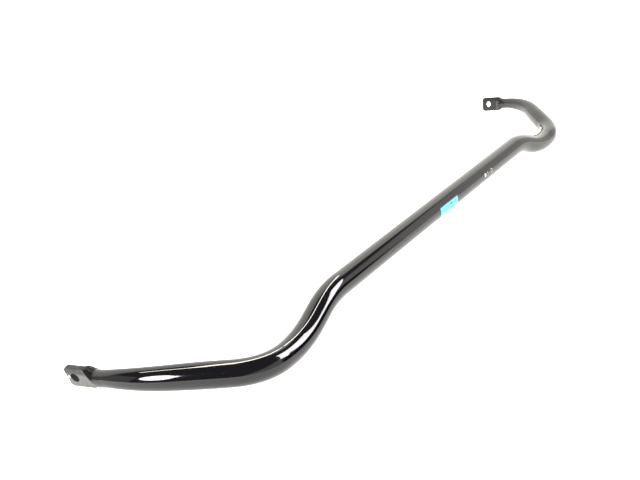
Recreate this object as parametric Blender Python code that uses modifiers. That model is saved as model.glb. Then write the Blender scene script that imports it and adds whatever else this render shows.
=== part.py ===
"""A front sway bar: one forged spring-steel bar with a flattened eye at each end.

The bar carries an adhesive label at mid-length and a row of paint marks. Units are metres.
Everything is drawn with the straight middle of the bar on the X axis, the arms towards +Y and Z
up. One empty then stands it on the ground, with the middle of its footprint at the origin.
"""

from math import cos, pi, radians, sin, tan

import bmesh
import bpy
from mathutils import Matrix, Vector

# Bar: one half's centreline is a chain of corners, each rounded by a bend
BAR_RADIUS = 0.014
OFFSET_START = Vector((0.2864, 0.0, 0.0))  # where the straight middle ends
OFFSET_END = Vector((0.3586, -0.0105, -0.0231))
SHOULDER = Vector((0.4235, -0.0091, -0.0196))
KNEE = Vector((0.5138, 0.0745, -0.0081))
NECK = Vector((0.5203, 0.1125, -0.0160))
EYE_CENTRE = Vector((0.5218, 0.1449, -0.0235))
CORNERS = (Vector(), OFFSET_START, OFFSET_END, SHOULDER, KNEE, NECK, EYE_CENTRE)
BEND_RADII = (0.144, 0.166, 0.0825, 0.0936, 0.055)
BEND_STEPS = (4, 4, 8, 7, 2)

# Forged end: distances are measured back along the arm from the bolt hole's centre
NECK_RADIUS = 0.0091
TAPER_START = 0.150
TAPER_END = 0.036
TAPER_STEPS = 7
EYE_THICKNESS = 0.0060
EYE_WIDTH = 0.0247
EYE_EDGE_RADIUS = 0.0011
EYE_TWIST = radians(13.4)  # the lower edge of each eye leans towards the middle of the bar
NARROW_END = 0.0290  # the neck widens from here
RAMP_START = 0.0247  # the round neck is forged flat from here
WIDE_END = 0.0195  # the eye has its full width from here
RAMP_END = 0.0187
OUTER_RAMP_LEAN = 0.66  # the outer ramp starts this much sooner, for each metre down the eye
LEAN_PIVOT = 0.0080  # height on the eye where both ramps start together
LEAN_START = 0.070  # the outer side of the arm is drawn back from here
TIP_REACH = 0.0113
TIP_CORNER = 0.0055
TIP_STEPS = 4
BOLT_HOLE_RADIUS = 0.0051
BOLT_HOLE_CHAMFER = 0.0011

# Label and paint: angles go round the bar from +Z towards -Y
COAT_GAP = 0.0003
FILM = 0.0003
LABEL_LENGTH = 0.055
LABEL_ANGLES = (radians(57.5), radians(235))
LABEL_STEPS = 18
PAINT_HEIGHT = radians(74)
PAINT_SLANT = radians(43)
PAINT_CURVE_STEPS = 20
DOT_X = 0.1219
DOT_SIZE = (0.0080, 0.0050)
RING_X = 0.1448
RING_SIZE = (0.0085, 0.0070)
RING_LINE = 0.0016
DASHES = (  # name, X, distance up from the row's middle, length, width
    ("paint_dash_1", 0.1303, 0.0015, 0.0034, 0.0013),
    ("paint_dash_2", 0.1318, -0.0018, 0.0036, 0.0013),
    ("paint_dash_3", 0.1368, -0.0014, 0.0040, 0.0013),
)

POINTS_PER_CORNER = 6
LEAST_SPACING = 0.0003
MERGE = 0.00001
CUTTER_MARGIN = 0.004
HOLE_SIDES = 32
SHARP_ANGLE = radians(35)

BLACK_PAINT = ("black_paint", (0.012, 0.012, 0.014), 0.22, 0.0)
CYAN_FILM = ("label_film", (0.20, 0.86, 0.85), 0.45, 0.0)
WHITE_PAINT = ("white_paint", (0.86, 0.87, 0.84), 0.55, 0.0)


def clear_scene():
    """Remove whatever objects the file holds."""
    for item in list(bpy.data.objects):
        bpy.data.objects.remove(item, do_unlink=True)


def new_collection(name):
    """Make a collection in the scene and return it."""
    collection = bpy.data.collections.new(name)
    bpy.context.scene.collection.children.link(collection)
    return collection


def make_material(name, colour, roughness, metallic):
    """Make a Principled material of one colour."""
    material = bpy.data.materials.new(name)
    material.use_nodes = True
    shader = material.node_tree.nodes["Principled BSDF"]
    shader.inputs["Base Color"].default_value = (*colour, 1.0)
    shader.inputs["Roughness"].default_value = roughness
    shader.inputs["Metallic"].default_value = metallic
    material.diffuse_color = (*colour, 1.0)
    return material


def add_object(name, shape, collection, parent, material=None):
    """Turn a bmesh into a named object that hangs on the parent."""
    bmesh.ops.recalc_face_normals(shape, faces=shape.faces)
    mesh = bpy.data.meshes.new(name)
    shape.to_mesh(mesh)
    shape.free()
    item = bpy.data.objects.new(name, mesh)
    item.parent = parent
    collection.objects.link(item)
    if material:
        mesh.materials.append(material)
    return item


# The bar's centreline


def line_piece(start, end):
    """A straight stretch: its length, and a function from distance to point and direction."""
    direction = (end - start).normalized()

    def at(distance):
        return start + direction * distance, direction

    return (end - start).length, at


def bend_piece(before, corner, after, radius):
    """A round bend at a corner: its length, its function, and where it starts and ends."""
    incoming = (corner - before).normalized()
    outgoing = (after - corner).normalized()
    turn = incoming.angle(outgoing)
    reach = radius * tan(turn / 2)
    inward = (outgoing - incoming * outgoing.dot(incoming)).normalized()
    start = corner - incoming * reach
    centre = start + inward * radius

    def at(distance):
        angle = distance / radius
        point = centre - inward * radius * cos(angle) + incoming * radius * sin(angle)
        return point, incoming * cos(angle) + inward * sin(angle)

    return radius * turn, at, start, corner + outgoing * reach


def make_centreline():
    """Join the straight stretches and bends of one half, from the bar's middle to its eye."""
    pieces = []
    bend_distances = []
    reached = CORNERS[0]
    travelled = 0.0
    for index, (radius, steps) in enumerate(zip(BEND_RADII, BEND_STEPS), start=1):
        length, at, bend_start, bend_end = bend_piece(*CORNERS[index - 1 : index + 2], radius)
        straight = line_piece(reached, bend_start)
        pieces.append(straight)
        pieces.append((length, at))
        travelled += straight[0]
        bend_distances += [travelled + length * step / steps for step in range(steps + 1)]
        travelled += length
        reached = bend_end
    pieces.append(line_piece(reached, CORNERS[-1]))
    return pieces, bend_distances, travelled + pieces[-1][0]


def point_on(pieces, distance):
    """Point and direction at a distance from the bar's middle; the last piece runs on straight."""
    for length, at in pieces[:-1]:
        if distance <= length:
            return at(distance)
        distance -= length
    return pieces[-1][1](distance)


# The bar's cross-section


def blend(start, end, share):
    """Smooth step from one value to another, as share goes from 0 to 1."""
    return start + (end - start) * share * share * (3 - 2 * share)


def share_of(value, start, end):
    """How far a value has gone from start to end, held between 0 and 1."""
    return min(max((value - start) / (end - start), 0.0), 1.0)


def section_at(from_eye):
    """Half thickness, half width, corner radius and slant, at a distance before the bolt hole."""
    taper = share_of(from_eye, TAPER_END, TAPER_START)
    radius = NECK_RADIUS + (BAR_RADIUS - NECK_RADIUS) * sin(taper * pi / 2)
    flattened = share_of(from_eye, RAMP_START, RAMP_END)
    half_thickness = radius + (EYE_THICKNESS / 2 - radius) * flattened
    half_width = blend(radius, EYE_WIDTH / 2, share_of(from_eye, NARROW_END, WIDE_END))
    corner = blend(min(half_thickness, half_width), EYE_EDGE_RADIUS, flattened)
    slant = OUTER_RAMP_LEAN * share_of(from_eye, LEAN_START, RAMP_START)
    slant *= share_of(from_eye, 0.0, RAMP_END)
    past_corner = share_of(-from_eye, TIP_REACH - TIP_CORNER, TIP_REACH)
    half_width -= TIP_CORNER * (1 - (1 - past_corner * past_corner) ** 0.5)
    return half_thickness, half_width, corner, slant


def section_ring(pieces, distance, across, section):
    """Corners of a rounded rectangle: thickness lies along across, width along upright.

    The slant slides its outer side along the bar: the lower a point, the further from the tip.
    """
    half_thickness, half_width, corner, slant = section
    direction = point_on(pieces, distance)[1]
    upright = across.cross(direction)
    ring = []
    for quarter, (side, height) in enumerate(((1, 1), (-1, 1), (-1, -1), (1, -1))):
        for step in range(POINTS_PER_CORNER):
            angle = (quarter + (step + 0.5) / POINTS_PER_CORNER) * pi / 2
            offset = side * (half_thickness - corner) + corner * cos(angle)
            rise = height * (half_width - corner) + corner * sin(angle)
            slide = slant * (rise - LEAN_PIVOT) * (1 + offset / half_thickness) / 2
            centre, heading = point_on(pieces, distance + slide)
            turned = direction.rotation_difference(heading)
            ring.append(centre + turned @ (across * offset + upright * rise))
    return ring


def eye_directions(arm):
    """Outward normal of the eye's face and the direction of its width, with the twist."""
    level = (Vector((1, 0, 0)) - arm * arm.x).normalized()
    upright = level.cross(arm)
    across = level * cos(EYE_TWIST) - upright * sin(EYE_TWIST)
    return across, across.cross(arm)


def section_distances(bend_distances, half_length):
    """Where the sections stand, as distances from the bar's middle."""
    distances = [0.0] + bend_distances
    for step in range(TAPER_STEPS + 1):
        share = step / TAPER_STEPS
        distances.append(half_length - TAPER_START + (TAPER_START - TAPER_END) * share)
    neck_middle = (NARROW_END + RAMP_START) / 2
    for stop in (NARROW_END, neck_middle, RAMP_START, (RAMP_START + RAMP_END) / 2, RAMP_END):
        distances.append(half_length - stop)
    for step in range(TIP_STEPS + 1):
        angle = step / TIP_STEPS * pi / 2
        distances.append(half_length + TIP_REACH - TIP_CORNER + TIP_CORNER * sin(angle))
    distances.sort()
    spaced = [distances[0]]
    for distance in distances[1:]:
        if distance - spaced[-1] > LEAST_SPACING:
            spaced.append(distance)
    return spaced


def half_bar():
    """Loft one half of the bar, open at the bar's middle and closed at the tip of the eye."""
    pieces, bend_distances, half_length = make_centreline()
    direction_before = point_on(pieces, half_length)[1]
    across, _ = eye_directions(direction_before)
    rings = []
    for distance in reversed(section_distances(bend_distances, half_length)):
        direction = point_on(pieces, distance)[1]
        across = direction_before.rotation_difference(direction) @ across
        direction_before = direction
        section = section_at(half_length - distance)
        rings.append(section_ring(pieces, distance, across, section))
    shape = bmesh.new()
    loops = [[shape.verts.new(point) for point in ring] for ring in rings]
    for loop, following in zip(loops, loops[1:]):
        for index in range(len(loop)):
            after = (index + 1) % len(loop)
            shape.faces.new((loop[index], loop[after], following[after], following[index]))
    shape.faces.new(loops[0])
    return shape, point_on(pieces, half_length)


def hole_cutter(eye, side):
    """A bolt-hole cutter with a chamfer at each face, for the eye on side +1 or -1."""
    centre, arm = eye
    across, upright = eye_directions(arm)
    face = EYE_THICKNESS / 2
    end = face + CUTTER_MARGIN
    wide = BOLT_HOLE_RADIUS + BOLT_HOLE_CHAMFER + CUTTER_MARGIN
    profile = (
        (wide, -end),
        (BOLT_HOLE_RADIUS, BOLT_HOLE_CHAMFER - face),
        (BOLT_HOLE_RADIUS, face - BOLT_HOLE_CHAMFER),
        (wide, end),
    )
    shape = bmesh.new()
    loops = []
    for radius, height in profile:
        loop = []
        for step in range(HOLE_SIDES):
            angle = 2 * pi * step / HOLE_SIDES
            spot = arm * radius * cos(angle) + upright * radius * sin(angle)
            loop.append(shape.verts.new(centre + across * height + spot))
        loops.append(loop)
    for loop, following in zip(loops, loops[1:]):
        for index in range(HOLE_SIDES):
            after = (index + 1) % HOLE_SIDES
            shape.faces.new((loop[index], loop[after], following[after], following[index]))
    shape.faces.new(loops[0])
    shape.faces.new(loops[-1])
    bmesh.ops.scale(shape, vec=(side, 1, 1), verts=shape.verts)
    return shape


def make_bar(parts, cutters, stand, material):
    """Mirror the half bar and drill both eyes."""
    shape, eye = half_bar()
    bar = add_object("bar", shape, parts, stand, material)
    mirror = bar.modifiers.new("both_halves", "MIRROR")
    mirror.merge_threshold = MERGE
    for side, name in ((1, "right_bolt_hole"), (-1, "left_bolt_hole")):
        cutter = add_object(name, hole_cutter(eye, side), cutters, stand)
        cutter.hide_render = True
        cutter.display_type = "WIRE"
        drill = bar.modifiers.new(name, "BOOLEAN")
        drill.operation = "DIFFERENCE"
        drill.solver = "EXACT"
        drill.object = cutter
    bar.data.shade_smooth()
    bar.data.set_sharp_from_angle(angle=SHARP_ANGLE)
    return bar


# Label and paint


def wrap_on_bar(shape, middle_x, middle_angle):
    """Bend a flat shape round the bar: its X runs along the bar and its Y goes round it."""
    radius = BAR_RADIUS + COAT_GAP
    for vertex in shape.verts:
        angle = middle_angle - vertex.co.y / radius
        vertex.co = Vector((middle_x + vertex.co.x, -radius * sin(angle), radius * cos(angle)))


def film_patch(name, shape, middle_x, middle_angle, parts, stand, material):
    """Wrap a flat shape on the bar and give it its film thickness, outwards."""
    wrap_on_bar(shape, middle_x, middle_angle)
    patch = add_object(name, shape, parts, stand, material)
    face = patch.data.polygons[0]
    points_out = face.normal.y * face.center.y + face.normal.z * face.center.z > 0
    solidify = patch.modifiers.new("film", "SOLIDIFY")
    solidify.thickness = FILM
    solidify.offset = 1.0 if points_out else -1.0
    patch.data.shade_smooth()
    patch.data.set_sharp_from_angle(angle=SHARP_ANGLE)
    return patch


def flat_strip(length, width, steps):
    """A flat rectangle with its long cuts along X, centred on the origin."""
    shape = bmesh.new()
    bmesh.ops.create_grid(shape, x_segments=1, y_segments=steps, size=0.5)
    bmesh.ops.scale(shape, vec=(length, width, 1), verts=shape.verts)
    return shape


def flat_oval(size):
    """A filled, slanted oval, centred on the origin."""
    shape = bmesh.new()
    bmesh.ops.create_circle(
        shape, cap_ends=True, cap_tris=True, segments=PAINT_CURVE_STEPS, radius=0.5
    )
    bmesh.ops.scale(shape, vec=(*size, 1), verts=shape.verts)
    bmesh.ops.rotate(shape, matrix=Matrix.Rotation(PAINT_SLANT, 3, "Z"), verts=shape.verts)
    return shape


def flat_ring(size, line):
    """A slanted oval ring of even line width, centred on the origin."""
    shape = bmesh.new()
    loops = []
    for inset in (0.0, line):
        half_length = size[0] / 2 - inset
        half_width = size[1] / 2 - inset
        loop = []
        for step in range(PAINT_CURVE_STEPS):
            angle = 2 * pi * step / PAINT_CURVE_STEPS
            loop.append(shape.verts.new((half_length * cos(angle), half_width * sin(angle), 0)))
        loops.append(loop)
    for index in range(PAINT_CURVE_STEPS):
        after = (index + 1) % PAINT_CURVE_STEPS
        shape.faces.new((loops[0][index], loops[0][after], loops[1][after], loops[1][index]))
    bmesh.ops.rotate(shape, matrix=Matrix.Rotation(PAINT_SLANT, 3, "Z"), verts=shape.verts)
    return shape


def make_label(parts, stand, material):
    """The adhesive label, wrapped from the front of the bar to its underside."""
    first, last = LABEL_ANGLES
    width = (last - first) * (BAR_RADIUS + COAT_GAP)
    strip = flat_strip(LABEL_LENGTH, width, LABEL_STEPS)
    film_patch("label", strip, 0.0, (first + last) / 2, parts, stand, material)


def make_paint_marks(parts, stand, material):
    """The row of brushed marks: a dot, three dashes and a ring."""
    dot = flat_oval(DOT_SIZE)
    film_patch("paint_dot", dot, DOT_X, PAINT_HEIGHT, parts, stand, material)
    ring = flat_ring(RING_SIZE, RING_LINE)
    film_patch("paint_ring", ring, RING_X, PAINT_HEIGHT, parts, stand, material)
    for name, middle_x, around, length, width in DASHES:
        dash = flat_strip(length, width, 1)
        angle = PAINT_HEIGHT - around / BAR_RADIUS
        film_patch(name, dash, middle_x, angle, parts, stand, material)


def stand_on_ground(stand, bar):
    """Move the empty so that the bar's box has the middle of its bottom at the origin."""
    bpy.context.view_layer.update()
    evaluated = bar.evaluated_get(bpy.context.evaluated_depsgraph_get())
    corners = [Vector(corner) for corner in evaluated.bound_box]
    low = Vector([min(corner[axis] for corner in corners) for axis in range(3)])
    high = Vector([max(corner[axis] for corner in corners) for axis in range(3)])
    stand.location = (-(low.x + high.x) / 2, -(low.y + high.y) / 2, -low.z)


def main():
    """Build the whole object."""
    clear_scene()
    parts = new_collection("sway_bar")
    cutters = new_collection("cutters")
    stand = bpy.data.objects.new("stand", None)
    parts.objects.link(stand)
    bar = make_bar(parts, cutters, stand, make_material(*BLACK_PAINT))
    make_label(parts, stand, make_material(*CYAN_FILM))
    make_paint_marks(parts, stand, make_material(*WHITE_PAINT))
    stand_on_ground(stand, bar)


main()
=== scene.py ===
from math import ceil, cos, pi, radians, sin, sqrt, tan

import bmesh
import bpy
from mathutils import Matrix, Quaternion, Vector, noise


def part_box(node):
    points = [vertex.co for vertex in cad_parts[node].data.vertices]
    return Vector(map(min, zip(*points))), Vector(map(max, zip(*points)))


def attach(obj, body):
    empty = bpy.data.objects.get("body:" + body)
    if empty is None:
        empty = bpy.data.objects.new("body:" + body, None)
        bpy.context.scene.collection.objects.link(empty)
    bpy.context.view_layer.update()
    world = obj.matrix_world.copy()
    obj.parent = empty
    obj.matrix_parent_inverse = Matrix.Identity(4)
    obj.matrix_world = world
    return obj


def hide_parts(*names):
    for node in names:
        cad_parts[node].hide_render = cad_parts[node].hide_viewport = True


# The looks of a front sway bar: a smooth painted bar, its adhesive label and its brushed marks,
# on a white studio floor. Units are metres. Each piece is drawn with the straight middle of the
# bar on the X axis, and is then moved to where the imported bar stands.

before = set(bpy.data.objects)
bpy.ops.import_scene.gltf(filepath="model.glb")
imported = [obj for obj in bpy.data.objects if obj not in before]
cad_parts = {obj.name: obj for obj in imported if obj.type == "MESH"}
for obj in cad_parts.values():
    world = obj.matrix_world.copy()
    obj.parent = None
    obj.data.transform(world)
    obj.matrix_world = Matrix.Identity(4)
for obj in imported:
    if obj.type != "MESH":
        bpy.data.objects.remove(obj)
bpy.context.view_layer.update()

# Bar: one half's centreline is a chain of corners, each rounded by a bend, as in the CAD
BAR_RADIUS = 0.014
CORNERS = (
    Vector(),
    Vector((0.2864, 0.0, 0.0)),  # the straight middle ends
    Vector((0.3586, -0.0105, -0.0231)),  # the offset that passes under the car
    Vector((0.4235, -0.0091, -0.0196)),  # the shoulder
    Vector((0.5138, 0.0745, -0.0081)),  # the knee
    Vector((0.5203, 0.1125, -0.0160)),  # the neck
    Vector((0.5218, 0.1449, -0.0235)),  # the bolt hole's centre
)
BEND_RADII = (0.144, 0.166, 0.0825, 0.0936, 0.055)
BAR_SPACING = 0.002
EYE_SPACING = 0.0005
RING_POINTS = 96
CORNER_WEIGHT = 4.0  # a corner of a section gets this many times the points of its flats

# Forged end: distances are measured back along the arm from the bolt hole's centre
NECK_RADIUS = 0.0091
TAPER_START = 0.150
TAPER_END = 0.036
EYE_THICKNESS = 0.0060
EYE_WIDTH = 0.0247
EYE_EDGE_RADIUS = 0.0013
EYE_TWIST = radians(13.4)
NARROW_END = 0.0290
RAMP_START = 0.0247
WIDE_END = 0.0195
RAMP_END = 0.0187
CREST_EASE = 0.10  # shares of the ramp's length over which its crest and its foot are rounded
FOOT_EASE = 0.70
OUTER_RAMP_LEAN = 0.66  # the outer ramp starts sooner, the lower it is on the eye
LEAN_PIVOT = 0.0080  # height on the eye where both ramps start together
LEAN_START = 0.070  # the lean grows from here, before the hole, to the ramp's start
TIP_REACH = 0.0113
TIP_CORNER = 0.0055
TIP_STEPS = 14
BOLT_HOLE_RADIUS = 0.0051
BOLT_HOLE_ROUNDING = 0.0004
HOLE_SIDES = 96
GLINT_PLACE = (0.0070, 0.0008)  # painted highlight beside the left bolt hole, drawn as bright steel: towards the tip, upwards
GLINT_SIZE = 0.0030
DULL_RISE = (0.002, 0.006)  # the top of each ramp is dull: heights, and distances from the hole
DULL_RAMP = (0.034, 0.028)
RAMP_FOOT = RAMP_END - FOOT_EASE * (RAMP_START - RAMP_END)
FORGED_FADE = 0.003
HAMMER_DEPTH = 0.00007  # unevenness that the forging leaves on the eyes
HAMMER_SIZE = 0.0045
HAMMER_DETAIL = (2.3, 0.5)  # a finer layer: how much finer, and its share of the depth
FORGED_X = CORNERS[4].x - BAR_RADIUS  # both forged ends lie further out than this
CUTTER_REACH = 0.004  # how far the bolt hole's cutter stands out past its rim, and how it flares
CUTTER_FLARE = radians(12)
RIM_ANGLES = [radians(angle) for angle in range(0, 81, 8)]
WELD_DISTANCE = 0.00001
SHARP_ANGLE = radians(40)

# Label and paint: angles go round the bar from +Z towards -Y
SKIN = 0.00004
LABEL_LENGTH = 0.055
LABEL_ANGLES = (radians(57.5), radians(235))
LABEL_CORNER = 0.0016
LABEL_FILM = 0.00014
LABEL_GRID = (56, 90)
LABEL_BORDER = ((0.0042, 0.0030), (0.0034, 0.0022))  # pale border: from the ends, from the top
LABEL_DARK_EDGE = ((0.0022, 0.0012), (0.0018, 0.0010))  # darker along the ends and the top edge: from the ends, from the top
PRINT_EDGE = 0.00008
PRINTED_BLOCKS = (  # middle along the label and down from its top edge, length, width; ink
    ((0.005, 0.0039, 0.0046, 0.0026), 1.0),
    ((-0.004, 0.0085, 0.030, 0.0007), 0.18),
    ((-0.006, 0.0102, 0.026, 0.0007), 0.18),
    ((0.0, 0.0160, 0.036, 0.0040), 0.22),
    ((-0.003, 0.0215, 0.028, 0.0007), 0.18),
)
PAINT_FILM = 0.00016
PAINT_HEIGHT = radians(74)
PAINT_SLANT = radians(43)
DOT = (0.1219, 0.0, 0.0058, 0.0052)  # X, distance up from the row's middle, length, width
DASHES = (
    ("paint_dash_1", (0.1303, 0.0015, 0.0030, 0.0009)),
    ("paint_dash_2", (0.1318, -0.0018, 0.0032, 0.0009)),
    ("paint_dash_3", (0.1368, -0.0014, 0.0036, 0.0009)),
)
RING_X = 0.1448
RING_SIZE = 0.0062
RING_LINE = 0.0010
RING_STEPS = 72
RING_DOME_STEPS = 8
RING_BASE_STEPS = 8
STROKE_STEPS = 28
STROKE_SIDES = 10
STROKE_FILL = 0.995  # the last rows stop just before the stroke's ends, which keeps them open
STROKE_WIDTH_NOISE = (1.7, 0.14, 0.3)  # waves to a stroke's width, size, and a row of the noise
STROKE_DRIFT_NOISE = (1.3, 0.08, 7.7)
RING_LINE_NOISE = (1.1, 0.22)  # waves to the ring's radius, and their size
RING_WAVER_NOISE = (1.4, 0.03)
RING_NOISE_PLACE = Vector((3, 1, 4))
DOT_SEED = 1.5
DASH_SEED = 20.0
DOME_ALONG = (0.06, 0.88)  # part of a half wave that the paint's height follows: start, length
DOME_ACROSS = (0.05, 0.90)
DOME_POWER = 0.5

# Materials: a texture is its waves per metre, its detail and its roughness
BUMP_SCALE = 1.0  # heights are real ones, in metres
SOFT_MIDDLE = (0.35, 0.65)
WIDE_MIDDLE = (0.3, 0.7)

# Black paint
DRAW_STRETCH = (0.06, 1, 1)  # lines left by drawing the steel run along the bar
DRAW_LINES = (900, 2.0)
PEEL = (420, 1.5)
WAVINESS = (55, 1.0)
SCALE_PITS = (650, 3.0, 0.6)
DUST = (1500, 1.0)
DUST_LIMITS = (0.75, 0.80)
RUBS = (140, 4.0, 0.65)
RUB_LIMITS = (0.56, 0.72)
PATCHES = (30, 3.0)
MOTTLE = (500, 3.0, 0.6)
# Painted highlight beside the left bolt hole: the edge of its spot, and how much mottle breaks it
GLINT_LIMITS = (0.62, 0.72)
GLINT_MOTTLE = 0.2
TRIMMED_DULLNESS = 0.8
DUST_COVER = 0.3
BLACK = (0.0016, 0.0014, 0.0021, 1)
DUST_GREY = (0.10, 0.10, 0.095, 1)
SCALE_DARK = (0.012, 0.012, 0.0115, 1)
SCALE_PALE = (0.022, 0.022, 0.020, 1)
BORE_BLACK = (0.006, 0.006, 0.006, 1)
# Colour of the painted highlight beside the left bolt hole
GLINT_STEEL = (0.75, 0.74, 0.71, 1)
BLACK_SPECULAR = (0.5, 0.12)  # from glossy to dull places
BLACK_ROUGHNESS = (0.035, 0.07)
RUB_ROUGHNESS = 0.04
FORGED_ROUGHNESS = 0.2
DULL_ROUGHNESS = 0.3
DUST_ROUGHNESS = 0.8
PEEL_HEIGHT = 0.0000025
WAVINESS_HEIGHT = 0.00002
DRAW_LINE_HEIGHT = 0.0000010
PIT_HEIGHT = 0.00005
DUST_HEIGHT = 0.00001

# Label film
FADE = (60, 3.0)
INK_WEAR = (900, 3.0, 0.6)
INK_LEFT = 0.6  # the least ink that wear leaves
FILM_DARK = (0.030, 0.37, 0.35, 1)
FILM_PALE = (0.040, 0.42, 0.40, 1)
BORDER_CYAN = (0.20, 0.50, 0.54, 1)
BORDER_COVER = 0.8
INK = (0.0, 0.07, 0.09, 1)
DARK_EDGE_TEAL = (0.0, 0.06, 0.08, 1)
DARK_EDGE_COVER = 0.85
FILM_ROUGHNESS = (0.14, 0.22)
WRINKLES = (120, 2.0)
WRINKLE_HEIGHT = 0.00006
FIBRES = (2500, 2.0)
FIBRE_HEIGHT = 0.000004

# White paint
BRISTLE_STRETCH = (1, 3, 3)
STREAKS = (1400, 3.0, 0.6)
WHITE_DARK = (0.40, 0.41, 0.39, 1)
WHITE_PALE = (0.60, 0.61, 0.58, 1)
SHOWN_THROUGH = (0.05, 0.05, 0.05, 1)
THINNESS = 0.35
WHITE_ROUGHNESS = (0.55, 0.42)
STREAK_HEIGHT = 0.00003

# Camera and studio
CAMERA_AIM = Vector((-0.1763, 0.0117, 0.0370))
CAMERA_DISTANCE = 1.126
CAMERA_HEADING = radians(31.85)
CAMERA_PITCH = radians(25.71)
CAMERA_LENS = 51.75
CAMERA_CLIP = 0.01
FLOOR_SIZE = 16.0
FLOOR_DROP = 0.0002
FLOOR_GREY = (0.25, 0.25, 0.25, 1)
FLOOR_ROUGHNESS = 0.9
FLOOR_LIGHT = (1.0, 0.985, 0.94, 1)
FLOOR_GLOW = (-0.12, 0.10, 1.3, 2.8)  # brighter behind the bar than in front of it: Y, then glow
# Softboxes: what each one faces, its azimuth, elevation and distance from there, its size,
# radiance and turn in degrees, and its shape
SOFTBOXES = (
    ("key_softbox", (-0.503, -0.014, 0.0335), -149.4, 37.6, 1.0, (0.78, 0.66), 26, 38, "ELLIPSE"),
    ("side_softbox", (-0.341, -0.081, 0.0335), -37, 35, 2.0, (1.05, 0.45), 20, 42, "RECTANGLE"),
)
CEILING_HEIGHT = 2.23
CEILING_STRIPS = (  # start and end on the plan
    ("long_strip", (2.4, 1.06), (0.25, 0.08)),
    ("short_strip", (0.3, 0.05), (-0.65, 0.85)),
)
STRIP_WIDTH = 0.16
STRIP_RADIANCE = 30
STRIP_COLOUR = (1.0, 0.97, 0.86)
WALL_COLOUR = (1.0, 0.98, 0.92, 1)
EDGE_SOFTNESS = 0.06
DIM_WORLD = 0.15
# Walls: radiance, and the directions (azimuth, elevation) whose sides of the world they fill
WALLS = (
    (2.15, ((65, -30), (84, 0), (37, 0))),
    (1.15, ((-25, -57), (-96, 0))),
    (0.8, ((150, -40), (217, 0), (90, 0))),
)
WALL_GAP = (-48, 8, 9, 14)  # dark opening: azimuth and elevation of its middle, and its edges


# The bar's centreline


def line_piece(start, end):
    """A straight stretch: its length, and a function from distance to point and direction."""
    direction = (end - start).normalized()

    def at(distance):
        return start + direction * distance, direction

    return (end - start).length, at


def bend_piece(before, corner, after, radius):
    """A round bend at a corner: its length, its function, and where it starts and ends."""
    incoming = (corner - before).normalized()
    outgoing = (after - corner).normalized()
    turn = incoming.angle(outgoing)
    reach = radius * tan(turn / 2)
    inward = (outgoing - incoming * outgoing.dot(incoming)).normalized()
    start = corner - incoming * reach
    centre = start + inward * radius

    def at(distance):
        angle = distance / radius
        point = centre - inward * radius * cos(angle) + incoming * radius * sin(angle)
        return point, incoming * cos(angle) + inward * sin(angle)

    return radius * turn, at, start, corner + outgoing * reach


def make_centreline():
    """Join the straight stretches and bends of one half, from the bar's middle to its eye."""
    pieces = []
    reached = CORNERS[0]
    for index, radius in enumerate(BEND_RADII, start=1):
        length, at, bend_start, bend_end = bend_piece(*CORNERS[index - 1 : index + 2], radius)
        pieces.append(line_piece(reached, bend_start))
        pieces.append((length, at))
        reached = bend_end
    pieces.append(line_piece(reached, CORNERS[-1]))
    return pieces, sum(length for length, _ in pieces)


def point_on(pieces, distance):
    """Point and direction at a distance from the bar's middle; the last piece runs on straight."""
    for length, at in pieces[:-1]:
        if distance <= length:
            return at(distance)
        distance -= length
    return pieces[-1][1](distance)


# The bar's cross-section


def blend(start, end, share):
    """Smooth step from one value to another, as share goes from 0 to 1."""
    return start + (end - start) * share * share * (3 - 2 * share)


def share_of(value, start, end):
    """How far a value has gone from start to end, held between 0 and 1."""
    return min(max((value - start) / (end - start), 0.0), 1.0)


def flattened_share(from_eye):
    """How far the ramp has flattened the arm, with its crest and its foot rounded."""
    share = (from_eye - RAMP_START) / (RAMP_END - RAMP_START)
    if share <= -CREST_EASE:
        return 0.0
    if share < CREST_EASE:
        return (share + CREST_EASE) ** 2 / (4 * CREST_EASE)
    if share <= 1 - FOOT_EASE:
        return share
    if share < 1 + FOOT_EASE:
        return 1 - (1 + FOOT_EASE - share) ** 2 / (4 * FOOT_EASE)
    return 1.0


def width_at(from_eye, radius):
    """Half width of the arm, which spreads from a round neck into the eye."""
    return blend(radius, EYE_WIDTH / 2, share_of(from_eye, NARROW_END, WIDE_END))


def section_at(from_eye):
    """Half thickness, half width, corner radius and slant, at a distance before the bolt hole."""
    taper = share_of(from_eye, TAPER_END, TAPER_START)
    radius = NECK_RADIUS + (BAR_RADIUS - NECK_RADIUS) * sin(taper * pi / 2)
    flattened = flattened_share(from_eye)
    half_thickness = radius + (EYE_THICKNESS / 2 - radius) * flattened
    half_width = width_at(from_eye, radius)
    corner = blend(min(half_thickness, half_width), EYE_EDGE_RADIUS, flattened)
    slant = OUTER_RAMP_LEAN * share_of(from_eye, LEAN_START, RAMP_START)
    slant *= share_of(from_eye, 0.0, RAMP_END)
    past_corner = share_of(-from_eye, TIP_REACH - TIP_CORNER, TIP_REACH)
    half_width -= TIP_CORNER * (1 - sqrt(1 - past_corner * past_corner))
    if past_corner > 0:
        rounded = share_of(-from_eye, TIP_REACH - EYE_EDGE_RADIUS, TIP_REACH)
        half_thickness -= EYE_EDGE_RADIUS * (1 - sqrt(1 - rounded * rounded))
    return half_thickness, half_width, corner, slant


def quarter_point(half_thickness, half_width, corner, share):
    """Point on the first quarter of a rounded rectangle, from its side face to its top edge."""
    corner = min(corner, half_thickness, half_width)
    side = half_width - corner
    arc = corner * pi / 2 * CORNER_WEIGHT
    top = half_thickness - corner
    travelled = share * (side + arc + top)
    if travelled <= side:
        return half_thickness, travelled
    if travelled <= side + arc:
        angle = (travelled - side) / arc * pi / 2
        return top + corner * cos(angle), side + corner * sin(angle)
    return side + arc + top - travelled, half_width


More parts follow.
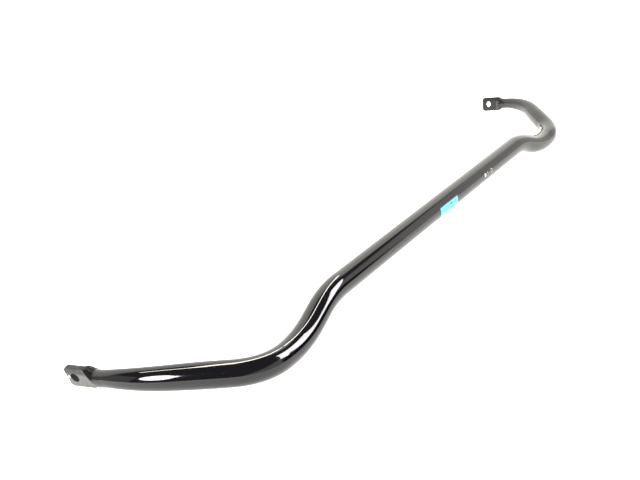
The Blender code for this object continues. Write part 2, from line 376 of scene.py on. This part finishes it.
def section_ring(pieces, distance, from_eye, across):
    """Points of a section: thickness lies along across, width along upright.

    The slant slides its outer side along the bar: the lower a point, the further from the tip.
    The ramp slides with it, but the eye keeps its width up to the same place on every side.
    """
    half_thickness, half_width, corner, slant = section_at(from_eye)
    direction = point_on(pieces, distance)[1]
    upright = across.cross(direction)
    per_quarter = RING_POINTS // 4
    ring = []
    for index in range(RING_POINTS):
        quarter, step = divmod(index, per_quarter)
        share = step / per_quarter if quarter % 2 == 0 else 1 - step / per_quarter
        offset, rise = quarter_point(half_thickness, half_width, corner, share)
        offset *= 1 if quarter in (0, 3) else -1
        rise *= 1 if quarter in (0, 1) else -1
        slide = slant * (rise - LEAN_PIVOT) * (1 + offset / half_thickness) / 2
        if from_eye > 0:
            rise *= width_at(from_eye - slide, NECK_RADIUS) / width_at(from_eye, NECK_RADIUS)
        centre, heading = point_on(pieces, distance + slide)
        turned = direction.rotation_difference(heading)
        ring.append(centre + turned @ (across * offset + upright * rise))
    return ring


def eye_directions(arm):
    """Outward normal of the eye's face and the direction of its width, with the twist."""
    level = (Vector((1, 0, 0)) - arm * arm.x).normalized()
    upright = level.cross(arm)
    across = level * cos(EYE_TWIST) - upright * sin(EYE_TWIST)
    return across, across.cross(arm)


def section_distances(half_length):
    """Where the sections stand, from the bar's middle: close together only at the eye."""
    eye_start = half_length - TAPER_END
    tip_start = half_length + TIP_REACH - TIP_CORNER
    bar_steps = ceil(eye_start / BAR_SPACING)
    eye_steps = ceil((tip_start - eye_start) / EYE_SPACING)
    distances = [eye_start * step / bar_steps for step in range(bar_steps)]
    distances += [
        eye_start + (tip_start - eye_start) * step / eye_steps for step in range(eye_steps)
    ]
    for step in range(TIP_STEPS + 1):
        distances.append(tip_start + TIP_CORNER * sin(step / TIP_STEPS * pi / 2))
    return distances


# Meshes


def add_piece(name, shape, body_offset, material, slot, *nodes):
    """Turn a bmesh into a shaded piece that stands for CAD nodes and rides on the bar."""
    bmesh.ops.recalc_face_normals(shape, faces=shape.faces)
    mesh = bpy.data.meshes.new(name)
    shape.to_mesh(mesh)
    shape.free()
    piece = bpy.data.objects.new(name, mesh)
    bpy.context.scene.collection.objects.link(piece)
    mesh.materials.append(material)
    mesh.shade_smooth()
    mesh.transform(Matrix.Translation(body_offset))
    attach(piece, "root")
    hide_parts(*nodes)
    return piece


def bridge(shape, loops, closed=True):
    """Faces between following loops of vertices."""
    for loop, following in zip(loops, loops[1:]):
        last = len(loop) if closed else len(loop) - 1
        for index in range(last):
            after = (index + 1) % len(loop)
            shape.faces.new((loop[index], loop[after], following[after], following[index]))


def half_bar():
    """Loft one half of the bar, open at the bar's middle and closed at the tip of the eye."""
    pieces, half_length = make_centreline()
    centre, arm = point_on(pieces, half_length)
    across, _ = eye_directions(arm)
    direction_before = arm
    shape = bmesh.new()
    unbent = shape.verts.layers.float_vector.new("unbent")
    loops = []
    for distance in reversed(section_distances(half_length)):
        direction = point_on(pieces, distance)[1]
        across = direction_before.rotation_difference(direction) @ across
        direction_before = direction
        ring = section_ring(pieces, distance, half_length - distance, across)
        loop = []
        for index, point in enumerate(ring):
            vertex = shape.verts.new(point)
            angle = index / RING_POINTS * 2 * pi
            around = Vector((0, cos(angle), sin(angle))) * BAR_RADIUS
            vertex[unbent] = Vector((distance, 0, 0)) + around
            loop.append(vertex)
        loops.append(loop)
    bridge(shape, loops)
    shape.faces.new(loops[0])
    return shape, centre, arm


def hammer(shape, centre, arm):
    """Leave the forged end slightly uneven, as under the hammer."""
    shape.normal_update()
    finer, finer_depth = HAMMER_DETAIL
    for vertex in shape.verts:
        from_eye = (centre - vertex.co).dot(arm)
        if vertex.co.x > FORGED_X and from_eye < TAPER_END:
            share = blend(1, 0, share_of(from_eye, RAMP_START, TAPER_END))
            place = vertex.co / HAMMER_SIZE
            depth = noise.noise(place) + finer_depth * noise.noise(place * finer)
            vertex.co += vertex.normal * depth * share * HAMMER_DEPTH


def hole_cutter(centre, arm, side):
    """A bolt-hole cutter with a rounded rim at each face, for the eye on side +1 or -1."""
    across, upright = eye_directions(arm)
    face = EYE_THICKNESS / 2
    rounding = BOLT_HOLE_ROUNDING
    profile = [
        (BOLT_HOLE_RADIUS + rounding * (1 - cos(angle)), face - rounding + rounding * sin(angle))
        for angle in RIM_ANGLES
    ]
    rim_radius, rim_height = profile[-1]
    flared = rim_height + CUTTER_REACH * tan(CUTTER_FLARE)
    profile.append((rim_radius + CUTTER_REACH, flared))
    profile.append((rim_radius + CUTTER_REACH, rim_height + CUTTER_REACH))
    profile = [(radius, -height) for radius, height in reversed(profile)] + profile
    shape = bmesh.new()
    loops = []
    for radius, height in profile:
        loop = []
        for step in range(HOLE_SIDES):
            angle = 2 * pi * step / HOLE_SIDES
            spot = arm * radius * cos(angle) + upright * radius * sin(angle)
            loop.append(shape.verts.new(centre + across * height + spot))
        loops.append(loop)
    bridge(shape, loops)
    shape.faces.new(loops[0])
    shape.faces.new(loops[-1])
    bmesh.ops.scale(shape, vec=(side, 1, 1), verts=shape.verts)
    bmesh.ops.recalc_face_normals(shape, faces=shape.faces)
    return shape


def plain_object(name, shape):
    """A mesh object that is only used to make another one."""
    mesh = bpy.data.meshes.new(name)
    shape.to_mesh(mesh)
    shape.free()
    item = bpy.data.objects.new(name, mesh)
    bpy.context.scene.collection.objects.link(item)
    return item


def drilled_bar():
    """Both halves of the bar with their bolt holes, as one bmesh, and the hole's centre and arm."""
    shape, centre, arm = half_bar()
    bmesh.ops.recalc_face_normals(shape, faces=shape.faces)
    hammer(shape, centre, arm)
    blank = plain_object("bar_blank", shape)
    mirror = blank.modifiers.new("both_halves", "MIRROR")
    mirror.merge_threshold = WELD_DISTANCE
    helpers = [blank]
    for side in (1, -1):
        cutter = plain_object("drill", hole_cutter(centre, arm, side))
        drill = blank.modifiers.new("drill", "BOOLEAN")
        drill.operation = "DIFFERENCE"
        drill.solver = "EXACT"
        drill.object = cutter
        helpers.append(cutter)
    bpy.context.view_layer.update()
    evaluated = blank.evaluated_get(bpy.context.evaluated_depsgraph_get())
    mesh = bpy.data.meshes.new_from_object(evaluated)
    drilled = bmesh.new()
    drilled.from_mesh(mesh)
    for helper in helpers:
        bpy.data.objects.remove(helper)
    bpy.data.meshes.remove(mesh)
    return drilled, centre, arm


def mark_surfaces(shape, centre, arm):
    """Mark where the bar is forged, bored and trimmed, and where its painted highlight lies, for
    its material.
    """
    forged = shape.verts.layers.float.new("forged")
    bore = shape.verts.layers.float.new("bore")
    painted_glint = shape.verts.layers.float.new("painted_glint")
    trimmed = shape.verts.layers.float.new("trimmed")
    across, upright = eye_directions(arm)
    glint_middle = arm * GLINT_PLACE[0] + upright * GLINT_PLACE[1]
    for vertex in shape.verts:
        if abs(vertex.co.x) < FORGED_X:
            continue
        spot = Vector((abs(vertex.co.x), vertex.co.y, vertex.co.z)) - centre
        rise = spot.dot(upright)
        outer = share_of(spot.dot(across), -EYE_THICKNESS / 2, EYE_THICKNESS / 2)
        lean = OUTER_RAMP_LEAN * (rise - LEAN_PIVOT) / RAMP_END
        from_eye = -spot.dot(arm) / (1 - lean * outer)
        vertex[forged] = blend(1, 0, share_of(from_eye, RAMP_FOOT, RAMP_FOOT + FORGED_FADE))
        flat = spot - across * spot.dot(across)
        past_rim = share_of(flat.length, BOLT_HOLE_RADIUS, BOLT_HOLE_RADIUS + BOLT_HOLE_ROUNDING)
        vertex[bore] = blend(1, 0, past_rim)
        below_face = EYE_THICKNESS / 2 - abs(spot.dot(across))
        at_edge = share_of(below_face, 0.0, EYE_EDGE_RADIUS) * (1 - vertex[bore])
        on_ramp_top = share_of(rise, *DULL_RISE) * share_of(from_eye, *DULL_RAMP)
        vertex[trimmed] = max(at_edge * share_of(from_eye, RAMP_START, RAMP_END), on_ramp_top)
        # Painted highlight: a bright spot on the outer face beside the left bolt hole
        if vertex.co.x < 0 and spot.dot(across) > 0:
            vertex[painted_glint] = blend(1, 0, share_of((flat - glint_middle).length, 0.0, GLINT_SIZE))


def make_bar(material):
    """The painted bar. Returns how far it was moved to stand in the frame."""
    shape, centre, arm = drilled_bar()
    mark_surfaces(shape, centre, arm)
    low = Vector([min(vertex.co[axis] for vertex in shape.verts) for axis in range(3)])
    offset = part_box("bar")[0] - low
    bar = add_piece("painted_bar", shape, offset, material, "black_paint", "bar")
    bar.data.set_sharp_from_angle(angle=SHARP_ANGLE)
    return offset


# Label and paint marks


def wrap_on_bar(shape, middle_x, middle_angle):
    """Bend a flat shape round the bar: X runs along it, Y goes round it, Z is height above it."""
    radius = BAR_RADIUS + SKIN
    for vertex in shape.verts:
        angle = middle_angle - vertex.co.y / radius
        height = radius + vertex.co.z
        vertex.co = Vector((middle_x + vertex.co.x, -height * sin(angle), height * cos(angle)))


def closed_film(rows, height_at):
    """A closed film on rows of flat points. Its height depends on a point's row and place in it."""
    shape = bmesh.new()
    sheets = []
    for raised in (1, 0):
        sheet = []
        for row_index, row in enumerate(rows):
            line = []
            for index, (x, y) in enumerate(row):
                line.append(shape.verts.new((x, y, raised * height_at(row_index, index))))
            sheet.append(line)
        bridge(shape, sheet, closed=False)
        sheets.append(sheet)
    top, base = sheets
    for upper, lower in (
        (top[0], base[0]),
        (top[-1], base[-1]),
        ([row[0] for row in top], [row[0] for row in base]),
        ([row[-1] for row in top], [row[-1] for row in base]),
    ):
        bridge(shape, [upper, lower], closed=False)
    return shape


def make_label(offset, material):
    """The adhesive label, with round corners, wrapped from the front of the bar to below it."""
    first, last = LABEL_ANGLES
    half_width = (last - first) * (BAR_RADIUS + SKIN) / 2
    half_length = LABEL_LENGTH / 2
    across_steps, around_steps = LABEL_GRID
    rows = []
    for row in range(around_steps + 1):
        y = -half_width * cos(row / around_steps * pi)
        into_corner = share_of(abs(y), half_width - LABEL_CORNER, half_width)
        reach = half_length - LABEL_CORNER * (1 - sqrt(1 - into_corner * into_corner))
        rows.append(
            [(reach * (2 * step / across_steps - 1), y) for step in range(across_steps + 1)]
        )
    shape = closed_film(rows, lambda row_index, index: LABEL_FILM)
    sheet = shape.verts.layers.float_vector.new("sheet")
    for vertex in shape.verts:
        vertex[sheet] = Vector((vertex.co.x, half_width - vertex.co.y, 0))
    wrap_on_bar(shape, 0.0, (first + last) / 2)
    label = add_piece("label_wrap", shape, offset, material, "label_film", "label")
    label.data.set_sharp_from_angle(angle=SHARP_ANGLE)


def stroke_noise(place, seed, waves, size, noise_row):
    """Unevenness at a place along a stroke, which is given in widths of the stroke."""
    return size * noise.noise(Vector((place * waves, seed, noise_row)))


def stroke_rows(length, width, slant, seed):
    """Rows of flat points that fill one short brush stroke with round, uneven ends."""
    rows = []
    half = length / 2
    end = min(width / 2, half)
    for step in range(STROKE_STEPS + 1):
        x = -cos(step / STROKE_STEPS * pi) * half * STROKE_FILL
        into_end = max(abs(x) - (half - end), 0.0) / end
        uneven = 1 + stroke_noise(x / width, seed, *STROKE_WIDTH_NOISE)
        reach = width / 2 * sqrt(max(1 - into_end * into_end, 0.0)) * uneven
        drift = width * stroke_noise(x / width, seed, *STROKE_DRIFT_NOISE)
        row = []
        for side in range(STROKE_SIDES + 1):
            y = -cos(side / STROKE_SIDES * pi) * reach + drift
            row.append((x * cos(slant) - y * sin(slant), x * sin(slant) + y * cos(slant)))
        rows.append(row)
    return rows


def half_wave(start, length, share):
    """Height of a half wave at a share of a part of it."""
    return sin(pi * (start + length * share))


def domed_stroke(rows):
    """A closed stroke of paint, thickest along its middle."""

    def height_at(row_index, index):
        along = half_wave(*DOME_ALONG, row_index / STROKE_STEPS)
        across = half_wave(*DOME_ACROSS, index / STROKE_SIDES)
        return PAINT_FILM * (along * across) ** DOME_POWER

    return closed_film(rows, height_at)


def brushed_ring():
    """A closed ring of paint with an uneven line, as one stroke of the brush leaves it."""
    shape = bmesh.new()
    loops = []
    profile = []
    for step in range(RING_DOME_STEPS + 1):
        angle = pi * step / RING_DOME_STEPS
        profile.append((-cos(angle), sin(angle) * PAINT_FILM))
    for step in range(1, RING_BASE_STEPS):
        profile.append((1 - 2 * step / RING_BASE_STEPS, 0.0))
    line_waves, line_unevenness = RING_LINE_NOISE
    waver_waves, waver_size = RING_WAVER_NOISE
    for step in range(RING_STEPS):
        angle = 2 * pi * step / RING_STEPS
        outward = Vector((cos(angle), sin(angle), 0))
        uneven = noise.noise(outward * line_waves + RING_NOISE_PLACE)
        line = RING_LINE * (1 + line_unevenness * uneven)
        waver = 1 + waver_size * noise.noise(outward * waver_waves)
        middle = (RING_SIZE - RING_LINE) / 2 * waver
        loop = []
        for share, height in profile:
            spot = outward * (middle + share * line / 2)
            loop.append(shape.verts.new((spot.x, spot.y, height)))
        loops.append(loop)
    bridge(shape, loops + [loops[0]])
    bmesh.ops.rotate(shape, matrix=Matrix.Rotation(PAINT_SLANT, 3, "Z"), verts=shape.verts)
    return shape


def make_paint_marks(offset, material):
    """The row of brushed marks: a dot, three dashes and a ring."""
    x, up, length, width = DOT
    dot = domed_stroke(stroke_rows(length, width, PAINT_SLANT, DOT_SEED))
    marks = [("paint_dot", dot, x, up), ("paint_ring", brushed_ring(), RING_X, 0.0)]
    for index, (name, (x, up, length, width)) in enumerate(DASHES):
        shape = domed_stroke(stroke_rows(length, width, 0.0, DASH_SEED + index))
        marks.append((name, shape, x, up))
    for name, shape, x, up in marks:
        thin = shape.verts.layers.float.new("thin")
        for vertex in shape.verts:
            vertex[thin] = 0.0 if name == "paint_dot" else 1.0
        wrap_on_bar(shape, x, PAINT_HEIGHT - up / BAR_RADIUS)
        add_piece("brushed_" + name, shape, offset, material, "white_paint", name)


# Materials


def new_material(name):
    """An empty node material: its tree, its Principled shader and the material."""
    material = bpy.data.materials.new(name)
    material.use_nodes = True
    tree = material.node_tree
    return material, tree, tree.nodes["Principled BSDF"]


def add_node(tree, kind, settings=(), **inputs):
    """Add a node, set its options and fill its inputs with values or with other sockets."""
    made = tree.nodes.new(kind)
    for name, value in dict(settings).items():
        setattr(made, name, value)
    for name, value in inputs.items():
        socket = made.inputs[int(name[1:]) if name[0] == "i" and name[1:].isdigit() else name]
        if isinstance(value, bpy.types.NodeSocket):
            tree.links.new(value, socket)
        else:
            socket.default_value = value
    return made


def maths(tree, operation, first, second=0.0):
    """One Math node's result."""
    settings = {"operation": operation}
    return add_node(tree, "ShaderNodeMath", settings, i0=first, i1=second).outputs[0]


def add_parts(tree, total, parts):
    """A value plus some others, each of which counts for its own amount."""
    for part, amount in parts:
        total = maths(tree, "ADD", total, maths(tree, "MULTIPLY", part, amount))
    return total


def attribute(tree, name, output="Fac"):
    """A value that the mesh carries at each of its points."""
    return add_node(tree, "ShaderNodeAttribute", {"attribute_name": name}).outputs[output]


def stretched(tree, place, scale):
    """A place with each of its coordinates scaled."""
    settings = {"operation": "MULTIPLY"}
    return add_node(tree, "ShaderNodeVectorMath", settings, i0=place, i1=scale).outputs[0]


def set_bump(tree, shader, height):
    """Raise a material's surface by a height in metres."""
    settings = {"Strength": BUMP_SCALE, "Distance": BUMP_SCALE, "Height": height}
    bump = add_node(tree, "ShaderNodeBump", **settings)
    tree.links.new(bump.outputs["Normal"], shader.inputs["Normal"])


def ramp(tree, value, low, high, bottom=0.0, top=1.0):
    """Smoothly carry a value that goes from low to high over to bottom and top."""
    made = add_node(tree, "ShaderNodeMapRange", {"interpolation_type": "SMOOTHSTEP"}, i0=value)
    for index, number in zip((1, 2, 3, 4), (low, high, bottom, top)):
        made.inputs[index].default_value = number
    return made.outputs[0]


def noise_value(tree, place, scale, detail=2.0, roughness=0.5):
    """Noise between 0 and 1, with its scale in waves per metre."""
    made = add_node(tree, "ShaderNodeTexNoise", i0=place)
    made.inputs["Scale"].default_value = scale
    made.inputs["Detail"].default_value = detail
    made.inputs["Roughness"].default_value = roughness
    return made.outputs["Fac"]


def mix_colours(tree, share, first, second):
    """Blend two colours by a share."""
    made = add_node(tree, "ShaderNodeMix", {"data_type": "RGBA"})
    for socket, value in (("Factor", share), ("A", first), ("B", second)):
        target = next(item for item in made.inputs if item.name == socket and item.enabled)
        if isinstance(value, bpy.types.NodeSocket):
            tree.links.new(value, target)
        else:
            target.default_value = value
    return next(item for item in made.outputs if item.enabled)


def black_paint():
    """Gloss black paint over forged steel: orange peel, dust, rubs, a rougher forged eye, and a
    painted highlight beside one bolt hole.
    """
    material, tree, shader = new_material("gloss_black_paint")
    unbent = attribute(tree, "unbent", "Vector")
    place = add_node(tree, "ShaderNodeTexCoord").outputs["Object"]
    forged = attribute(tree, "forged")
    bore = attribute(tree, "bore")
    trimmed = maths(tree, "MULTIPLY", attribute(tree, "trimmed"), TRIMMED_DULLNESS)
    dull = maths(tree, "MAXIMUM", bore, trimmed)
    along_bar = stretched(tree, unbent, DRAW_STRETCH)
    scale_pits = maths(tree, "MULTIPLY", noise_value(tree, place, *SCALE_PITS), forged)
    dust = ramp(tree, noise_value(tree, place, *DUST), *DUST_LIMITS)
    rubs = ramp(tree, noise_value(tree, along_bar, *RUBS), *RUB_LIMITS)
    mottle = ramp(tree, noise_value(tree, place, *MOTTLE), *SOFT_MIDDLE)

    # Painted highlight: a spot of bright, metallic steel beside the left bolt hole stands in for a
    # glint on its rim
    glint = add_parts(tree, attribute(tree, "painted_glint"), [(mottle, GLINT_MOTTLE)])
    glint = ramp(tree, glint, *GLINT_LIMITS)

    dusted = maths(tree, "MULTIPLY", dust, DUST_COVER)
    colour = mix_colours(tree, dusted, BLACK, DUST_GREY)
    colour = mix_colours(tree, forged, colour, mix_colours(tree, mottle, SCALE_DARK, SCALE_PALE))
    colour = mix_colours(tree, bore, colour, BORE_BLACK)
    colour = mix_colours(tree, glint, colour, GLINT_STEEL)
    tree.links.new(colour, shader.inputs["Base Color"])
    tree.links.new(glint, shader.inputs["Metallic"])
    specular = ramp(tree, dull, 0.0, 1.0, *BLACK_SPECULAR)
    tree.links.new(specular, shader.inputs["Specular IOR Level"])

    patches = noise_value(tree, place, *PATCHES)
    roughness_parts = [
        (rubs, RUB_ROUGHNESS),
        (forged, FORGED_ROUGHNESS),
        (dull, DULL_ROUGHNESS),
        (dusted, DUST_ROUGHNESS),
    ]
    roughness = ramp(tree, patches, *WIDE_MIDDLE, *BLACK_ROUGHNESS)
    roughness = add_parts(tree, roughness, roughness_parts)
    tree.links.new(roughness, shader.inputs["Roughness"])

    heights = [
        (noise_value(tree, place, *PEEL), PEEL_HEIGHT),
        (noise_value(tree, place, *WAVINESS), WAVINESS_HEIGHT),
        (noise_value(tree, along_bar, *DRAW_LINES), DRAW_LINE_HEIGHT),
        (scale_pits, PIT_HEIGHT),
        (dust, DUST_HEIGHT),
    ]
    set_bump(tree, shader, add_parts(tree, 0.0, heights))
    return material


def printed_block(tree, along, down, block):
    """1 inside a plain printed block, whose middle and size are as in PRINTED_BLOCKS."""
    mask = None
    for value, middle, size in ((along, block[0], block[2]), (down, block[1], block[3])):
        past = maths(tree, "ABSOLUTE", maths(tree, "SUBTRACT", value, middle))
        inside = ramp(tree, past, size / 2 - PRINT_EDGE, size / 2 + PRINT_EDGE, 1.0, 0.0)
        mask = inside if mask is None else maths(tree, "MULTIPLY", mask, inside)
    return mask


def along_edges(tree, to_end, down, from_ends, from_top):
    """1 along the label's ends and its top edge: distances where this starts and is complete."""
    reach = [LABEL_LENGTH / 2 - distance for distance in from_ends]
    at_top = ramp(tree, down, *reversed(from_top), 1.0, 0.0)
    return maths(tree, "MAXIMUM", ramp(tree, to_end, *reach), at_top)


def label_film():
    """Satin cyan film with a pale border, darker along its ends and top edge, plain printed blocks
    and wrinkles.
    """
    material, tree, shader = new_material("cyan_label_film")
    place = add_node(tree, "ShaderNodeTexCoord").outputs["Object"]
    split = add_node(tree, "ShaderNodeSeparateXYZ", i0=attribute(tree, "sheet", "Vector"))
    along, down = split.outputs["X"], split.outputs["Y"]
    to_end = maths(tree, "ABSOLUTE", along)
    fade = noise_value(tree, place, *FADE)
    worn = ramp(tree, noise_value(tree, place, *INK_WEAR), *SOFT_MIDDLE, INK_LEFT, 1.0)
    tone = mix_colours(tree, ramp(tree, fade, *WIDE_MIDDLE), FILM_DARK, FILM_PALE)
    border = along_edges(tree, to_end, down, *LABEL_BORDER)
    tone = mix_colours(tree, maths(tree, "MULTIPLY", border, BORDER_COVER), tone, BORDER_CYAN)
    for block, ink in PRINTED_BLOCKS:
        mask = maths(tree, "MULTIPLY", printed_block(tree, along, down, block), worn)
        tone = mix_colours(tree, maths(tree, "MULTIPLY", mask, ink), tone, INK)
    dark_edge = along_edges(tree, to_end, down, *LABEL_DARK_EDGE)
    tone = mix_colours(tree, maths(tree, "MULTIPLY", dark_edge, DARK_EDGE_COVER), tone, DARK_EDGE_TEAL)
    tree.links.new(tone, shader.inputs["Base Color"])
    roughness = ramp(tree, fade, *WIDE_MIDDLE, *FILM_ROUGHNESS)
    tree.links.new(roughness, shader.inputs["Roughness"])
    heights = [
        (noise_value(tree, place, *WRINKLES), WRINKLE_HEIGHT),
        (noise_value(tree, place, *FIBRES), FIBRE_HEIGHT),
    ]
    set_bump(tree, shader, add_parts(tree, 0.0, heights))
    return material


def white_paint():
    """Brushed white marking paint, thinner and greyer where the brush ran dry."""
    material, tree, shader = new_material("white_marking_paint")
    place = add_node(tree, "ShaderNodeTexCoord").outputs["Object"]
    streaks = noise_value(tree, stretched(tree, place, BRISTLE_STRETCH), *STREAKS)
    tone = mix_colours(tree, ramp(tree, streaks, *SOFT_MIDDLE), WHITE_DARK, WHITE_PALE)
    thin = maths(tree, "MULTIPLY", attribute(tree, "thin"), THINNESS)
    tree.links.new(mix_colours(tree, thin, tone, SHOWN_THROUGH), shader.inputs["Base Color"])
    roughness = ramp(tree, streaks, *WIDE_MIDDLE, *WHITE_ROUGHNESS)
    tree.links.new(roughness, shader.inputs["Roughness"])
    set_bump(tree, shader, maths(tree, "MULTIPLY", streaks, STREAK_HEIGHT))
    return material


# Studio


def make_camera():
    """A camera with its horizon level, above the bar's left front."""
    level = Vector((cos(CAMERA_HEADING), sin(CAMERA_HEADING), 0)) * cos(CAMERA_PITCH)
    forward = level - Vector((0, 0, sin(CAMERA_PITCH)))
    camera = bpy.data.objects.new("camera", bpy.data.cameras.new("camera"))
    camera.data.lens = CAMERA_LENS
    camera.data.clip_start = CAMERA_CLIP
    camera.location = CAMERA_AIM - forward * CAMERA_DISTANCE
    camera.rotation_euler = forward.to_track_quat("-Z", "Y").to_euler()
    bpy.context.scene.collection.objects.link(camera)
    bpy.context.scene.camera = camera


def direction_to(azimuth, elevation):
    """Unit vector: azimuth in degrees from +X towards +Y, elevation in degrees above the floor."""
    flat = cos(radians(elevation))
    return Vector(
        (flat * cos(radians(azimuth)), flat * sin(radians(azimuth)), sin(radians(elevation)))
    )


def add_lamp(name, location, facing, size, radiance, shape):
    """An area light of a shape and a size in metres, which shows the same radiance everywhere."""
    data = bpy.data.lights.new(name, "AREA")
    data.shape = shape
    data.size, data.size_y = size
    data.energy = radiance * pi * size[0] * size[1]
    lamp = bpy.data.objects.new(name, data)
    lamp.location = location
    lamp.rotation_mode = "QUATERNION"
    lamp.rotation_quaternion = facing
    lamp.visible_camera = False
    bpy.context.scene.collection.objects.link(lamp)
    return lamp


def softbox(name, target, azimuth, elevation, distance, size, radiance, turn, shape):
    """A soft light that faces a target from a direction, turned about that direction."""
    towards = direction_to(azimuth, elevation)
    facing = (-towards).to_track_quat("-Z", "Y") @ Quaternion((0, 0, 1), radians(turn))
    add_lamp(name, Vector(target) + towards * distance, facing, size, radiance, shape)


def ceiling_strip(name, start, end):
    """A narrow light under the ceiling, between two points on the plan."""
    first = Vector((*start, CEILING_HEIGHT))
    last = Vector((*end, CEILING_HEIGHT))
    run = last - first
    size = (STRIP_WIDTH, run.length)
    facing = run.to_track_quat("Y", "Z")
    lamp = add_lamp(name, (first + last) / 2, facing, size, STRIP_RADIANCE, "RECTANGLE")
    lamp.data.color = STRIP_COLOUR


def make_lights():
    """A softbox behind the camera, another at its side, and narrow strips under the ceiling."""
    for settings in SOFTBOXES:
        softbox(*settings)
    for settings in CEILING_STRIPS:
        ceiling_strip(*settings)


def dot_with(tree, place, azimuth, elevation):
    """How far each place in the world lies towards a direction, from -1 to 1."""
    direction = direction_to(azimuth, elevation)
    settings = {"operation": "DOT_PRODUCT"}
    return add_node(tree, "ShaderNodeVectorMath", settings, i0=place, i1=direction).outputs["Value"]


def lit_from(tree, place, azimuth, elevation):
    """1 on the side of the world that faces a direction and 0 on the other, with a soft edge."""
    towards = dot_with(tree, place, azimuth, elevation)
    return ramp(tree, towards, -EDGE_SOFTNESS, EDGE_SOFTNESS)


def make_world():
    """Pale walls around the bar that are open above and dark behind the camera."""
    world = bpy.data.worlds.new("studio")
    bpy.context.scene.world = world
    world.use_nodes = True
    tree = world.node_tree
    background = tree.nodes["Background"]
    background.inputs["Color"].default_value = WALL_COLOUR
    place = add_node(tree, "ShaderNodeTexCoord").outputs["Generated"]
    glow = DIM_WORLD
    for radiance, sides in WALLS:
        wall = radiance
        for azimuth, elevation in sides:
            wall = maths(tree, "MULTIPLY", lit_from(tree, place, azimuth, elevation), wall)
        glow = maths(tree, "ADD", wall, glow)
    towards_gap = dot_with(tree, place, *WALL_GAP[:2])
    outside = ramp(tree, towards_gap, *[cos(radians(angle)) for angle in WALL_GAP[2:]])
    glow = maths(tree, "MULTIPLY", glow, outside)

    # Seen directly, the walls are plain and bright, whatever the paint reflects
    seen = add_node(tree, "ShaderNodeLightPath").outputs["Is Camera Ray"]
    strength = add_node(tree, "ShaderNodeMix", i0=seen, i2=glow, i3=1.0)
    tree.links.new(strength.outputs[0], background.inputs["Strength"])


def make_floor():
    """A plain white floor, lit from within so that it shows no shadows."""
    shape = bmesh.new()
    bmesh.ops.create_grid(shape, x_segments=1, y_segments=1, size=FLOOR_SIZE / 2)
    mesh = bpy.data.meshes.new("floor")
    shape.to_mesh(mesh)
    shape.free()
    material, tree, shader = new_material("white_floor")
    shader.inputs["Base Color"].default_value = FLOOR_GREY
    shader.inputs["Roughness"].default_value = FLOOR_ROUGHNESS
    shader.inputs["Emission Color"].default_value = FLOOR_LIGHT
    place = add_node(tree, "ShaderNodeTexCoord").outputs["Object"]
    across = add_node(tree, "ShaderNodeSeparateXYZ", i0=place).outputs["Y"]
    tree.links.new(ramp(tree, across, *FLOOR_GLOW), shader.inputs["Emission Strength"])
    mesh.materials.append(material)
    floor = bpy.data.objects.new("floor", mesh)
    floor.location.z = -FLOOR_DROP
    bpy.context.scene.collection.objects.link(floor)


def main():
    """Build the pieces and the studio around them."""
    make_camera()
    offset = make_bar(black_paint())
    make_label(offset, label_film())
    make_paint_marks(offset, white_paint())
    make_floor()
    make_world()
    make_lights()
    bpy.context.scene.view_settings.view_transform = "Standard"


main()
